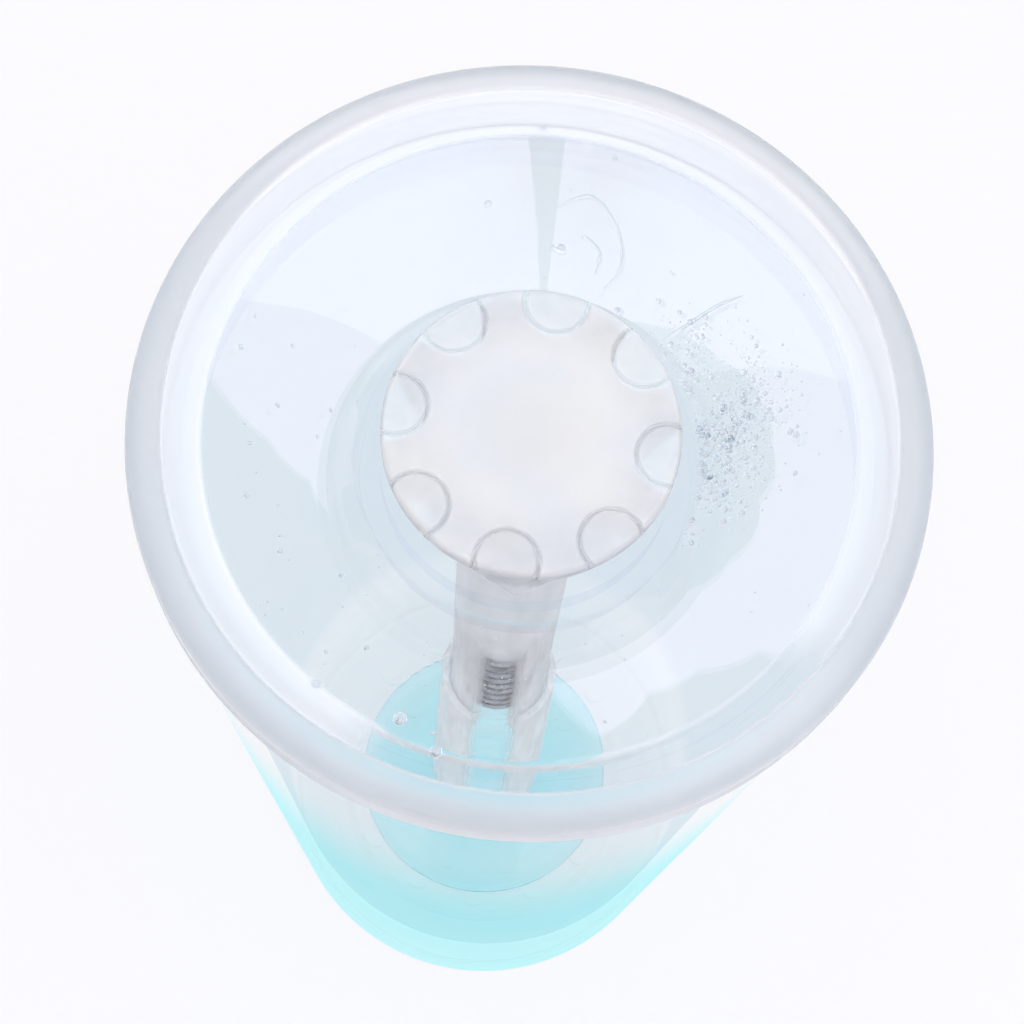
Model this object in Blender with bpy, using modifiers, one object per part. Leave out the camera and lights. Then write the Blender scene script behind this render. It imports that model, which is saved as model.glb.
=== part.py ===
"""Salon disinfectant jar: a heavy-bottomed glass jar, a clear dished lid and a lift-up drain tray.

The lid stands on the jar's lip. A clear guide sleeve hangs from the lid's hub. The lift rod slides
in that sleeve, with a fluted knob above the lid and a dished strainer tray below. A steel coil in
the sleeve grips the rod, so the tray stays up to drain where it is left. A wider clear tube stands
on the tray round the rod and slides over the sleeve as the tray comes up.
Units are metres, +Z is up and the origin is under the middle of the jar's base.
"""
import math

import bmesh
import bpy
from mathutils import Matrix

# Fits
SEAT_GAP = 0.0003
PLUG_GAP = 0.0008
TUBE_GAP = 0.0005

# Glass jar
JAR_HEIGHT = 0.254
JAR_TOP_RADIUS = 0.053
JAR_BASE_RADIUS = 0.045
JAR_WALL = 0.0032
JAR_FLOOR = 0.008
BOWL_HEIGHT = 0.040
BOWL_FLAT_RADIUS = 0.0085
HEEL_ROUND = 0.007
LIP_ROUND = 0.0013
PUNT_RADIUS = 0.033
PUNT_DEPTH = 0.0022

# Clear lid
LID_RADIUS = 0.054
RIM_HEIGHT = 0.010
RIM_SLOPE_WIDTH = 0.0043
RIM_SLOPE_DROP = 0.0028
DISH_DEPTH = 0.0137
DISH_SHOULDER_RUN = 0.0037
DISH_SHOULDER_DROP = 0.0035
HUB_RADIUS = 0.0205
HUB_DEPTH = 0.0063
LID_THICKNESS = 0.003
PLUG_DEPTH = 0.009
PLUG_WALL = 0.0024
GASKET_THICKNESS = 0.0014
GASKET_WIDTH = 0.003

# Lift rod and its guide
ROD_RADIUS = 0.005
TRAY_TRAVEL = 0.066
SLEEVE_RADIUS = 0.009
SLEEVE_WALL = 0.0022
FLANGE_RADIUS = 0.013
FLANGE_THICKNESS = 0.0018
FLANGE_SEAL_THICKNESS = 0.0008
NUT_ACROSS_FLATS = 0.027
NUT_THICKNESS = 0.006
NUT_WASHER_RADIUS = 0.0155
NUT_WASHER_THICKNESS = 0.001
BUSH_LIP_RADIUS = 0.0077
BUSH_LIP_THICKNESS = 0.0012
BUSH_LENGTH = 0.010
WIPER_THICKNESS = 0.0012
END_BUSH_LIP = 0.003
END_BUSH_SPIGOT = 0.006
SPRING_WIRE = 0.0012
SPRING_PITCH = 0.0045
SPRING_TURNS = 10
SPRING_FLAT_TURNS = 0.3
RETAINER_LENGTH = 0.005

# Knob
CAP_RADIUS = 0.0202
CAP_THICKNESS = 0.0024
CAP_DROP = 0.0018
CAP_ROUND = 0.0008
CAP_SPIGOT_HEIGHT = 0.001
KNOB_RADIUS = 0.0196
KNOB_FOOT_RADIUS = 0.0168
KNOB_WEB = 0.0022
FLUTE_COUNT = 8
FLUTE_RADIUS = 0.0043
FLUTE_CIRCLE_RADIUS = 0.0185
FLUTE_PHASE_DEGREES = -5.8

# Strainer tray
TRAY_GAP = 0.003
TRAY_WALL = 0.0024
TRAY_EDGE_DEGREES = 62.0
SOCKET_FOOT_RADIUS = 0.0145
SOCKET_HEIGHT = 0.026
SOCKET_WEB = 0.0024
SPIGOT_HEIGHT = 0.008
TUBE_FOOT_RADIUS = 0.012
TUBE_TOP_RADIUS = 0.0109
TUBE_LAP = 0.014
TUBE_ROUND = 0.0005
DRAIN_RADIUS = 0.0024
DRAIN_ROWS = ((0.0222, 10), (0.0304, 14))

# Screws that hold the knob and the tray to the rod
SCREW_RADIUS = 0.00175
SCREW_BITE = 0.013
SCREW_HEAD_RADIUS = 0.0034
SCREW_HEAD_HEIGHT = 0.0022
WASHER_RADIUS = 0.0046
WASHER_THICKNESS = 0.0007
DRIVE_RADIUS = 0.0012
DRIVE_DEPTH = 0.0013

# Facets of the turned pieces
WIDE_STEPS = 48
TRAY_STEPS = 36
SLIM_STEPS = 28
SMALL_STEPS = 16
FLUTE_SIDES = 20
DRAIN_SIDES = 8
ARC_STEPS = 4
COIL_POINTS = 10
CUT_SPARE = 0.002

# Heights, stacked from the jar's base upwards
LIP_Z = JAR_HEIGHT
GASKET_Z = LIP_Z + SEAT_GAP
LID_SEAT_Z = GASKET_Z + GASKET_THICKNESS + SEAT_GAP
CREST_Z = LID_SEAT_Z + RIM_HEIGHT
HUB_Z = CREST_Z - DISH_DEPTH - HUB_DEPTH
HUB_UNDER_Z = HUB_Z - LID_THICKNESS
FLANGE_SEAL_Z = HUB_Z + SEAT_GAP
FLANGE_Z = FLANGE_SEAL_Z + FLANGE_SEAL_THICKNESS + SEAT_GAP
SLEEVE_TOP_Z = FLANGE_Z + FLANGE_THICKNESS
WIPER_Z = SLEEVE_TOP_Z - WIPER_THICKNESS
BUSH_LIP_Z = WIPER_Z - SEAT_GAP - BUSH_LIP_THICKNESS
NUT_WASHER_Z = HUB_UNDER_Z - SEAT_GAP - NUT_WASHER_THICKNESS
NUT_Z = NUT_WASHER_Z - SEAT_GAP - NUT_THICKNESS
KNOB_Z = SLEEVE_TOP_Z + SEAT_GAP
CAP_Z = CREST_Z - CAP_DROP - CAP_THICKNESS
KNOB_HEIGHT = CAP_Z - SEAT_GAP - KNOB_Z
BOWL_CENTRE_Z = JAR_FLOOR + BOWL_HEIGHT
TRAY_Z = JAR_FLOOR + SEAT_GAP
SOCKET_TOP_Z = TRAY_Z + SOCKET_HEIGHT
LEDGE_Z = SOCKET_TOP_Z - SPIGOT_HEIGHT
TUBE_Z = LEDGE_Z + SEAT_GAP
END_BUSH_Z = SOCKET_TOP_Z + TRAY_TRAVEL + SEAT_GAP
SLEEVE_Z = END_BUSH_Z + END_BUSH_LIP + SEAT_GAP
TUBE_LENGTH = SLEEVE_Z + TUBE_LAP - TUBE_Z
SPRING_SEAT_Z = SLEEVE_Z + END_BUSH_SPIGOT + SEAT_GAP
SPRING_HEIGHT = SPRING_PITCH * (SPRING_TURNS - 2 * SPRING_FLAT_TURNS) + SPRING_WIRE
RETAINER_Z = SPRING_SEAT_Z + SPRING_HEIGHT + SEAT_GAP

# Radii that follow from the fits
ROD_HOLE_RADIUS = ROD_RADIUS + SEAT_GAP
SLEEVE_BORE = SLEEVE_RADIUS - SLEEVE_WALL
BUSH_RADIUS = SLEEVE_BORE - SEAT_GAP
HUB_BORE = SLEEVE_RADIUS + SEAT_GAP
TUBE_BORE = SLEEVE_RADIUS + TUBE_GAP
SPIGOT_RADIUS = TUBE_BORE - SEAT_GAP
COIL_RADIUS = ROD_RADIUS + SEAT_GAP + SPRING_WIRE / 2
SCREW_HOLE_RADIUS = SCREW_RADIUS + SEAT_GAP
HEAD_RECESS_RADIUS = WASHER_RADIUS + SEAT_GAP
HEAD_RECESS_DEPTH = WASHER_THICKNESS + SCREW_HEAD_HEIGHT + 3 * SEAT_GAP
CAP_SPIGOT_RADIUS = HEAD_RECESS_RADIUS - SEAT_GAP
KNOB_RECESS_DEPTH = HEAD_RECESS_DEPTH + CAP_SPIGOT_HEIGHT
KNOB_SOCKET_DEPTH = KNOB_HEIGHT - KNOB_RECESS_DEPTH - KNOB_WEB

# The rod runs from the floor of the tray's socket to the roof of the knob's socket
ROD_Z = TRAY_Z + HEAD_RECESS_DEPTH + SOCKET_WEB + SEAT_GAP
ROD_LENGTH = KNOB_Z + KNOB_SOCKET_DEPTH - SEAT_GAP - ROD_Z

OBJECT_NAME = "disinfectant_jar"


def jar_radius(height):
    """Outer radius of the tapered jar wall at a height."""
    return JAR_BASE_RADIUS + (JAR_TOP_RADIUS - JAR_BASE_RADIUS) * height / JAR_HEIGHT


def bowl_point(angle, inset=0.0):
    """A point of the jar's round inner bottom, or of a surface that keeps an inset from it."""
    across = jar_radius(BOWL_CENTRE_Z) - JAR_WALL - BOWL_FLAT_RADIUS - inset
    radius = BOWL_FLAT_RADIUS + across * math.sin(angle)
    height = BOWL_CENTRE_Z - (BOWL_HEIGHT - inset) * math.cos(angle)
    return radius, height


def bowl_run(start, end, inset, count):
    """Points along the round bottom between two angles from its middle."""
    return [bowl_point(start + (end - start) * i / count, inset) for i in range(count + 1)]


def bowl_angle(radius, inset):
    """Angle at which a surface inset from the round bottom reaches a radius."""
    across = jar_radius(BOWL_CENTRE_Z) - JAR_WALL - BOWL_FLAT_RADIUS - inset
    return math.asin((radius - BOWL_FLAT_RADIUS) / across)


def arc(centre, radius, start, end, count=ARC_STEPS):
    """Points of an arc in the profile's plane, with angles in degrees from +X towards +Z."""
    points = []
    for i in range(count + 1):
        angle = math.radians(start + (end - start) * i / count)
        points.append((centre[0] + radius * math.cos(angle), centre[1] + radius * math.sin(angle)))
    return points


def ring(inner, outer, height):
    """Profile of a plain ring that stands on its own base."""
    return [(outer, height), (outer, 0.0), (inner, 0.0), (inner, height)]


def make_collection(name):
    collection = bpy.data.collections.new(name)
    bpy.context.scene.collection.children.link(collection)
    return collection


def make_material(name, colour, roughness, metallic=0.0, transmission=0.0, ior=1.45):
    material = bpy.data.materials.new(name)
    material.use_nodes = True
    shader = material.node_tree.nodes["Principled BSDF"]
    shader.inputs["Base Color"].default_value = (*colour, 1.0)
    shader.inputs["Roughness"].default_value = roughness
    shader.inputs["Metallic"].default_value = metallic
    shader.inputs["Transmission Weight"].default_value = transmission
    shader.inputs["IOR"].default_value = ior
    return material


class Bench:
    """Collections, materials and frames that the pieces are put on."""

    def __init__(self):
        for old in list(bpy.data.objects):
            bpy.data.objects.remove(old, do_unlink=True)
        self.parts = make_collection(OBJECT_NAME)
        self.cutters = make_collection("cutters")
        self.glass = make_material("clear_glass", (0.93, 0.96, 0.97), 0.03, 0.0, 1.0, 1.52)
        self.acrylic = make_material("clear_acrylic", (0.95, 0.97, 0.99), 0.05, 0.0, 1.0, 1.49)
        self.silicone = make_material("clear_silicone", (0.86, 0.89, 0.90), 0.45, 0.0, 0.6, 1.41)
        self.nylon = make_material("white_nylon", (0.87, 0.88, 0.88), 0.42)
        self.steel = make_material("spring_steel", (0.30, 0.31, 0.33), 0.32, 1.0)

    def frame(self, name, parent=None):
        empty = bpy.data.objects.new(name, None)
        empty.parent = parent
        self.parts.objects.link(empty)
        return empty

    def add(self, name, mesh, material, frame, height=0.0):
        piece = bpy.data.objects.new(name, mesh)
        piece.data.materials.append(material)
        piece.location.z = height
        piece.parent = frame
        self.parts.objects.link(piece)
        return piece

    def turned(self, name, profile, material, frame, height=0.0, steps=SLIM_STEPS, on_axis=False):
        """A turned piece. A profile that starts and ends on the axis stays open there."""
        edges = [(i, i + 1) for i in range(len(profile) - 1)]
        if not on_axis:
            edges.append((len(profile) - 1, 0))
        mesh = bpy.data.meshes.new(name)
        mesh.from_pydata([(radius, 0.0, z) for radius, z in profile], edges, [])
        piece = self.add(name, mesh, material, frame, height)
        turn = piece.modifiers.new("turn", "SCREW")
        turn.steps = steps
        turn.render_steps = steps
        turn.use_merge_vertices = True
        turn.merge_threshold = 0.00001
        return piece

    def cut(self, piece, tool):
        """Cuts a tool out of a piece and files the tool with the cutters."""
        self.cutters.objects.link(tool)
        tool.hide_render = True
        tool.display_type = "WIRE"
        modifier = piece.modifiers.new("cut", "BOOLEAN")
        modifier.operation = "DIFFERENCE"
        modifier.solver = "EXACT"
        modifier.object = tool


def round_tools(name, places, radius, low, high, sides):
    """One tool made of upright cylinders at the given places."""
    shape = bmesh.new()
    middle = (low + high) / 2
    for x, y in places:
        bmesh.ops.create_cone(
            shape, cap_ends=True, segments=sides, radius1=radius, radius2=radius,
            depth=high - low, matrix=Matrix.Translation((x, y, middle)),
        )
    mesh = bpy.data.meshes.new(name)
    shape.to_mesh(mesh)
    shape.free()
    return bpy.data.objects.new(name, mesh)


def around(radius, count, phase=0.0):
    """Evenly spaced places on a circle."""
    angles = [phase + 2 * math.pi * i / count for i in range(count)]
    return [(radius * math.cos(angle), radius * math.sin(angle)) for angle in angles]


def make_jar(bench, frame):
    """Glass jar with straight tapered walls, a thick rounded bottom and a shallow punt."""
    inner_top = JAR_TOP_RADIUS - JAR_WALL
    profile = [(0.0, JAR_FLOOR)]
    profile += bowl_run(0.0, math.pi / 2, 0.0, 2 * ARC_STEPS)
    profile += arc((inner_top + LIP_ROUND, JAR_HEIGHT - LIP_ROUND), LIP_ROUND, 180, 90)
    profile += arc((JAR_TOP_RADIUS - LIP_ROUND, JAR_HEIGHT - LIP_ROUND), LIP_ROUND, 90, 0)
    profile += arc((jar_radius(HEEL_ROUND) - HEEL_ROUND, HEEL_ROUND), HEEL_ROUND, 0, -90)
    profile += [(PUNT_RADIUS, 0.0), (PUNT_RADIUS - PUNT_DEPTH, PUNT_DEPTH), (0.0, PUNT_DEPTH)]
    bench.turned("jar_body", profile, bench.glass, frame, 0.0, WIDE_STEPS, on_axis=True)


def lid_profile():
    """Section of the lid: rolled rim, short shoulder, cone down to a sunk hub, plug skirt below."""
    edge_z = RIM_HEIGHT - RIM_SLOPE_DROP
    crest_radius = LID_RADIUS - RIM_SLOPE_WIDTH
    shoulder_foot = (crest_radius - DISH_SHOULDER_RUN, RIM_HEIGHT - DISH_SHOULDER_DROP)
    dish_z = RIM_HEIGHT - DISH_DEPTH
    hub_z = dish_z - HUB_DEPTH
    hub_outer = HUB_RADIUS + LID_THICKNESS
    slope = (shoulder_foot[1] - dish_z) / (shoulder_foot[0] - HUB_RADIUS)
    under_drop = LID_THICKNESS * math.hypot(1.0, slope)
    plug_outer = jar_radius(JAR_HEIGHT - PLUG_DEPTH) - JAR_WALL - PLUG_GAP
    plug_inner = plug_outer - PLUG_WALL
    cone_at_plug = dish_z + slope * (plug_inner - HUB_RADIUS) - under_drop
    cone_at_hub = dish_z + slope * LID_THICKNESS - under_drop
    edge_round = RIM_SLOPE_DROP / 2
    profile = []
    for i in range(ARC_STEPS + 1):
        share = math.pi / 2 * i / ARC_STEPS
        profile.append((
            crest_radius + RIM_SLOPE_WIDTH * math.sin(share),
            edge_z + RIM_SLOPE_DROP * math.cos(share),
        ))
    profile += arc((LID_RADIUS - edge_round, edge_round), edge_round, 0, -90, 3)
    profile += [
        (plug_outer, 0.0),
        (plug_outer, -PLUG_DEPTH),
        (plug_inner, -PLUG_DEPTH),
        (plug_inner, cone_at_plug),
        (hub_outer, cone_at_hub),
        (hub_outer, hub_z - LID_THICKNESS),
        (HUB_BORE, hub_z - LID_THICKNESS),
        (HUB_BORE, hub_z),
        (HUB_RADIUS, hub_z),
        (HUB_RADIUS, dish_z),
        shoulder_foot,
    ]
    profile += arc((crest_radius, RIM_HEIGHT - edge_round), edge_round, 135, 105, 2)
    return profile


def make_lid(bench, frame):
    """Lid, its gasket, and the seal, washer and nut that hold the guide sleeve in the hub."""
    bench.turned("lid_dish", lid_profile(), bench.acrylic, frame, LID_SEAT_Z, WIDE_STEPS)
    gasket_outer = JAR_TOP_RADIUS - SEAT_GAP
    gasket = ring(gasket_outer - GASKET_WIDTH, gasket_outer, GASKET_THICKNESS)
    bench.turned("lid_gasket", gasket, bench.silicone, frame, GASKET_Z, WIDE_STEPS)
    seal = ring(HUB_BORE, FLANGE_RADIUS, FLANGE_SEAL_THICKNESS)
    bench.turned("flange_seal", seal, bench.silicone, frame, FLANGE_SEAL_Z)
    washer = ring(HUB_BORE, NUT_WASHER_RADIUS, NUT_WASHER_THICKNESS)
    bench.turned("nut_washer", washer, bench.nylon, frame, NUT_WASHER_Z)
    make_nut(bench, frame)


def make_nut(bench, frame):
    """Six-sided nut under the hub, chamfered on both faces."""
    shape = bmesh.new()
    corner = NUT_ACROSS_FLATS / 2 / math.cos(math.pi / 6)
    bmesh.ops.create_cone(
        shape, cap_ends=True, segments=6, radius1=corner, radius2=corner,
        depth=NUT_THICKNESS, matrix=Matrix.Translation((0.0, 0.0, NUT_THICKNESS / 2)),
    )
    mesh = bpy.data.meshes.new("sleeve_nut")
    shape.to_mesh(mesh)
    shape.free()
    nut = bench.add("sleeve_nut", mesh, bench.nylon, frame, NUT_Z)
    chamfer = nut.modifiers.new("chamfer", "BEVEL")
    chamfer.width = NUT_THICKNESS / 8
    chamfer.segments = 1
    bore = round_tools(
        "nut_bore", [(0.0, 0.0)], HUB_BORE, NUT_Z - CUT_SPARE, NUT_Z + NUT_THICKNESS + CUT_SPARE, SLIM_STEPS
    )
    bench.cut(nut, bore)


def make_sleeve(bench, frame):
    """Clear guide sleeve with its top bush, rod wiper, end bush, and what holds the coil between."""
    length = SLEEVE_TOP_Z - SLEEVE_Z
    flange_low = length - FLANGE_THICKNESS
    recess_radius = BUSH_LIP_RADIUS + SEAT_GAP
    recess_low = BUSH_LIP_Z - SEAT_GAP - SLEEVE_Z
    sleeve = [
        (FLANGE_RADIUS, length),
        (FLANGE_RADIUS, flange_low),
        (SLEEVE_RADIUS, flange_low),
        (SLEEVE_RADIUS, 0.0),
        (SLEEVE_BORE, 0.0),
        (SLEEVE_BORE, recess_low),
        (recess_radius, recess_low),
        (recess_radius, length),
    ]
    bench.turned("guide_sleeve", sleeve, bench.acrylic, frame, SLEEVE_Z)
    bush = [
        (BUSH_LIP_RADIUS, BUSH_LENGTH),
        (BUSH_LIP_RADIUS, BUSH_LENGTH - BUSH_LIP_THICKNESS),
        (BUSH_RADIUS, BUSH_LENGTH - BUSH_LIP_THICKNESS),
        (BUSH_RADIUS, 0.0),
        (ROD_HOLE_RADIUS, 0.0),
        (ROD_HOLE_RADIUS, BUSH_LENGTH),
    ]
    bush_z = BUSH_LIP_Z + BUSH_LIP_THICKNESS - BUSH_LENGTH
    bench.turned("top_bush", bush, bench.nylon, frame, bush_z)
    wiper = ring(ROD_HOLE_RADIUS, BUSH_LIP_RADIUS, WIPER_THICKNESS)
    bench.turned("wiper_ring", wiper, bench.silicone, frame, WIPER_Z)
    end_bush = [
        (BUSH_RADIUS, END_BUSH_LIP + SEAT_GAP + END_BUSH_SPIGOT),
        (BUSH_RADIUS, END_BUSH_LIP),
        (SLEEVE_RADIUS, END_BUSH_LIP),
        (SLEEVE_RADIUS, 0.0),
        (ROD_HOLE_RADIUS, 0.0),
        (ROD_HOLE_RADIUS, END_BUSH_LIP + SEAT_GAP + END_BUSH_SPIGOT),
    ]
    bench.turned("end_bush", end_bush, bench.acrylic, frame, END_BUSH_Z)
    retainer = ring(ROD_HOLE_RADIUS, BUSH_RADIUS, RETAINER_LENGTH)
    bench.turned("coil_retainer", retainer, bench.nylon, frame, RETAINER_Z)


def coil_points():
    """Points of the grip coil: open turns between two short flat ends."""
    points = []
    for i in range(SPRING_TURNS * COIL_POINTS + 1):
        turn = i / COIL_POINTS
        rising = min(max(turn - SPRING_FLAT_TURNS, 0.0), SPRING_TURNS - 2 * SPRING_FLAT_TURNS)
        angle = 2 * math.pi * turn
        points.append((
            COIL_RADIUS * math.cos(angle),
            COIL_RADIUS * math.sin(angle),
            SPRING_WIRE / 2 + SPRING_PITCH * rising,
        ))
    return points


def least_coil_gap(points):
    """Smallest clear distance between points at least half a turn apart along the wire."""
    apart = COIL_POINTS // 2
    return min(
        math.dist(points[i], points[j])
        for i in range(len(points))
        for j in range(i + apart, len(points))
    ) - SPRING_WIRE


def make_coil(bench, frame):
    """Steel coil that grips the rod: one unbroken wire."""
    points = coil_points()
    curve = bpy.data.curves.new("grip_coil", "CURVE")
    curve.dimensions = "3D"
    curve.bevel_depth = SPRING_WIRE / 2
    curve.bevel_resolution = 1
    curve.use_fill_caps = True
    wire = curve.splines.new("POLY")
    wire.points.add(len(points) - 1)
    for spot, point in zip(wire.points, points):
        spot.co = (*point, 1.0)
    bench.add("grip_coil", curve, bench.steel, frame, SPRING_SEAT_Z)
    print(f"least gap between the coil's turns: {least_coil_gap(points) * 1000:.2f} mm")


def make_rod(bench, frame):
    """Clear rod with a screw hole in each end."""
    hole = SCREW_BITE + SEAT_GAP
    profile = [
        (0.0, ROD_LENGTH - hole),
        (SCREW_HOLE_RADIUS, ROD_LENGTH - hole),
        (SCREW_HOLE_RADIUS, ROD_LENGTH),
        (ROD_RADIUS, ROD_LENGTH),
        (ROD_RADIUS, 0.0),
        (SCREW_HOLE_RADIUS, 0.0),
        (SCREW_HOLE_RADIUS, hole),
        (0.0, hole),
    ]
    bench.turned("lift_rod", profile, bench.acrylic, frame, ROD_Z, on_axis=True)


def make_knob(bench, frame):
    """Fluted knob, the flat cap over its screw, and that screw with its washer."""
    recess_z = KNOB_HEIGHT - KNOB_RECESS_DEPTH
    knob = bench.turned("knob_grip", [
        (KNOB_RADIUS, KNOB_HEIGHT),
        (KNOB_RADIUS, KNOB_HEIGHT - CAP_THICKNESS),
        (KNOB_FOOT_RADIUS, 0.0),
        (ROD_HOLE_RADIUS, 0.0),
        (ROD_HOLE_RADIUS, KNOB_SOCKET_DEPTH),
        (SCREW_HOLE_RADIUS, KNOB_SOCKET_DEPTH),
        (SCREW_HOLE_RADIUS, recess_z),
        (HEAD_RECESS_RADIUS, recess_z),
        (HEAD_RECESS_RADIUS, KNOB_HEIGHT),
    ], bench.acrylic, frame, KNOB_Z, WIDE_STEPS)
    places = around(FLUTE_CIRCLE_RADIUS, FLUTE_COUNT, math.radians(FLUTE_PHASE_DEGREES))
    flutes = round_tools(
        "knob_flutes", places, FLUTE_RADIUS, KNOB_Z - CUT_SPARE, KNOB_Z + KNOB_HEIGHT + CUT_SPARE, FLUTE_SIDES
    )
    bench.cut(knob, flutes)
    cap = [(0.0, CAP_THICKNESS)]
    cap += arc((CAP_RADIUS - CAP_ROUND, CAP_THICKNESS - CAP_ROUND), CAP_ROUND, 90, 0, 3)
    cap += [
        (CAP_RADIUS, 0.0),
        (CAP_SPIGOT_RADIUS, 0.0),
        (CAP_SPIGOT_RADIUS, -CAP_SPIGOT_HEIGHT),
        (0.0, -CAP_SPIGOT_HEIGHT),
    ]
    bench.turned("knob_cap", cap, bench.acrylic, frame, CAP_Z, WIDE_STEPS, on_axis=True)
    washer_z = KNOB_Z + recess_z + SEAT_GAP
    make_washer(bench, "knob_washer", frame, washer_z)
    make_screw(bench, "knob_screw", frame, washer_z + WASHER_THICKNESS + SEAT_GAP, KNOB_WEB)


def make_washer(bench, name, frame, height):
    washer = ring(SCREW_HOLE_RADIUS, WASHER_RADIUS, WASHER_THICKNESS)
    bench.turned(name, washer, bench.acrylic, frame, height, SMALL_STEPS)


def make_screw(bench, name, frame, seat, web):
    """Clear round-headed screw, head up, that passes a web and bites into the rod's end."""
    head = SCREW_HEAD_HEIGHT
    reach = WASHER_THICKNESS + 3 * SEAT_GAP + web + SCREW_BITE
    profile = [
        (0.0, head - DRIVE_DEPTH),
        (DRIVE_RADIUS, head - DRIVE_DEPTH),
        (DRIVE_RADIUS, head),
        (SCREW_HEAD_RADIUS - head / 2, head),
        (SCREW_HEAD_RADIUS, head / 2),
        (SCREW_HEAD_RADIUS, 0.0),
        (SCREW_RADIUS, 0.0),
        (SCREW_RADIUS, -reach + SCREW_RADIUS),
        (SCREW_RADIUS / 2, -reach),
        (0.0, -reach),
    ]
    return bench.turned(name, profile, bench.acrylic, frame, seat, SMALL_STEPS, on_axis=True)


def make_tray(bench, frame):
    """Dished strainer tray with a flared socket for the rod, the screw that holds it, and the tube."""
    edge = math.radians(TRAY_EDGE_DEGREES)
    upper = TRAY_GAP + TRAY_WALL
    foot_angle = bowl_angle(SOCKET_FOOT_RADIUS, upper)
    foot_z = bowl_point(foot_angle, upper)[1]
    flare = []
    for i in range(ARC_STEPS + 1):
        share = math.pi / 2 * i / ARC_STEPS
        flare.append((
            SOCKET_FOOT_RADIUS - (SOCKET_FOOT_RADIUS - TUBE_FOOT_RADIUS) * math.sin(share),
            LEDGE_Z - (LEDGE_Z - foot_z) * math.cos(share),
        ))
    profile = [(ROD_HOLE_RADIUS, SOCKET_TOP_Z), (SPIGOT_RADIUS, SOCKET_TOP_Z), (SPIGOT_RADIUS, LEDGE_Z)]
    profile += flare[::-1]
    profile += bowl_run(foot_angle, edge, upper, ARC_STEPS)[1:]
    profile += bowl_run(edge, 0.0, TRAY_GAP, ARC_STEPS)
    recess_z = TRAY_Z + HEAD_RECESS_DEPTH
    profile += [
        (BOWL_FLAT_RADIUS, TRAY_Z),
        (HEAD_RECESS_RADIUS, TRAY_Z),
        (HEAD_RECESS_RADIUS, recess_z),
        (SCREW_HOLE_RADIUS, recess_z),
        (SCREW_HOLE_RADIUS, recess_z + SOCKET_WEB),
        (ROD_HOLE_RADIUS, recess_z + SOCKET_WEB),
    ]
    tray = bench.turned("drain_tray", profile, bench.acrylic, frame, 0.0, TRAY_STEPS)
    places = []
    for row, (radius, count) in enumerate(DRAIN_ROWS):
        places += around(radius, count, math.pi / count * (row % 2))
    drains = round_tools("tray_drains", places, DRAIN_RADIUS, TRAY_Z, BOWL_CENTRE_Z, DRAIN_SIDES)
    bench.cut(tray, drains)
    washer_z = recess_z - SEAT_GAP - WASHER_THICKNESS
    make_washer(bench, "tray_washer", frame, washer_z)
    screw = make_screw(bench, "tray_screw", frame, washer_z - SEAT_GAP, SOCKET_WEB)
    screw.rotation_euler.x = math.pi
    tube = arc((TUBE_TOP_RADIUS - TUBE_ROUND, TUBE_LENGTH - TUBE_ROUND), TUBE_ROUND, 90, 0, 2)
    tube += [(TUBE_FOOT_RADIUS, 0.0), (TUBE_BORE, 0.0), (TUBE_BORE, TUBE_LENGTH)]
    bench.turned("lift_tube", tube, bench.acrylic, frame, TUBE_Z)


def main():
    bench = Bench()
    jar_frame = bench.frame("jar_frame")
    lid_frame = bench.frame("lid_frame", jar_frame)
    lift_frame = bench.frame("lift_frame", lid_frame)
    make_jar(bench, jar_frame)
    make_lid(bench, lid_frame)
    make_sleeve(bench, lid_frame)
    make_coil(bench, lid_frame)
    make_rod(bench, lift_frame)
    make_knob(bench, lift_frame)
    make_tray(bench, lift_frame)


main()
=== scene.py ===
"""Looks of the disinfectant jar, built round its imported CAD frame.

Each turned piece takes its half section from the frame, gets rounded edges and is turned again in fine
steps, so that clear walls bend light smoothly. Geometry Nodes make what repeats or follows a path: the
knob's flutes, the tray's drain holes, the grip coil, and the droplets, beads and wet streaks on the lid.
Units are metres, +Z is up and the jar stands on the floor at the origin.
"""
import math

import bmesh
import bpy
from mathutils import Matrix, Vector


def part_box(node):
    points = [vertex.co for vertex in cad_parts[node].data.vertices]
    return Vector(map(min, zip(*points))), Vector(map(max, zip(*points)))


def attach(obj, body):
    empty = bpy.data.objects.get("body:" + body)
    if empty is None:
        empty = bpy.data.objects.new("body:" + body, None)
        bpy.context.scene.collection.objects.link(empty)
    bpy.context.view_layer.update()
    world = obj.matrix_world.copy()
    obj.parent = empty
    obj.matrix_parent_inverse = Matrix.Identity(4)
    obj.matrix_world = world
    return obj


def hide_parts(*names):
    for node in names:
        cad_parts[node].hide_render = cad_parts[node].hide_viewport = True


# Camera: where it stands, the point it looks at, its turn about its own axis and its lens in mm
CAMERA_PLACE = Vector((-0.0053, -0.1017, 0.5606))
CAMERA_AIM = Vector((-0.0003, 0.0230, 0.1500))
CAMERA_ROLL = math.radians(4.91)
CAMERA_LENS = 82.8
CAMERA_NEAR = 0.01

# Turned pieces: their steps, how corners are rounded, and how a half section is read from the frame
WIDE_STEPS = 240
SLIM_STEPS = 128
EDGE_ROUND = 0.0004
GENTLE_TURN = math.radians(40.0)
GENTLE_REACH = 0.0030
ARC_TURN = math.radians(6.0)
CORNER_ROOM = 0.499
SUPPORT_REACH = 0.0002
SUPPORT_LEAST = 0.0015
ON_AXIS = 0.00002
SAME_POINT = 0.000002
SECTION_SHIFT = 0.000005
KNOB_SECTION_DEGREES = 15.0
TRAY_SECTION_DEGREES = 20.0

# Sleeve nut
NUT_STEPS = 192
NUT_CHAMFER = 0.0008
NUT_CHAMFER_SLOPE = 1.7

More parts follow.
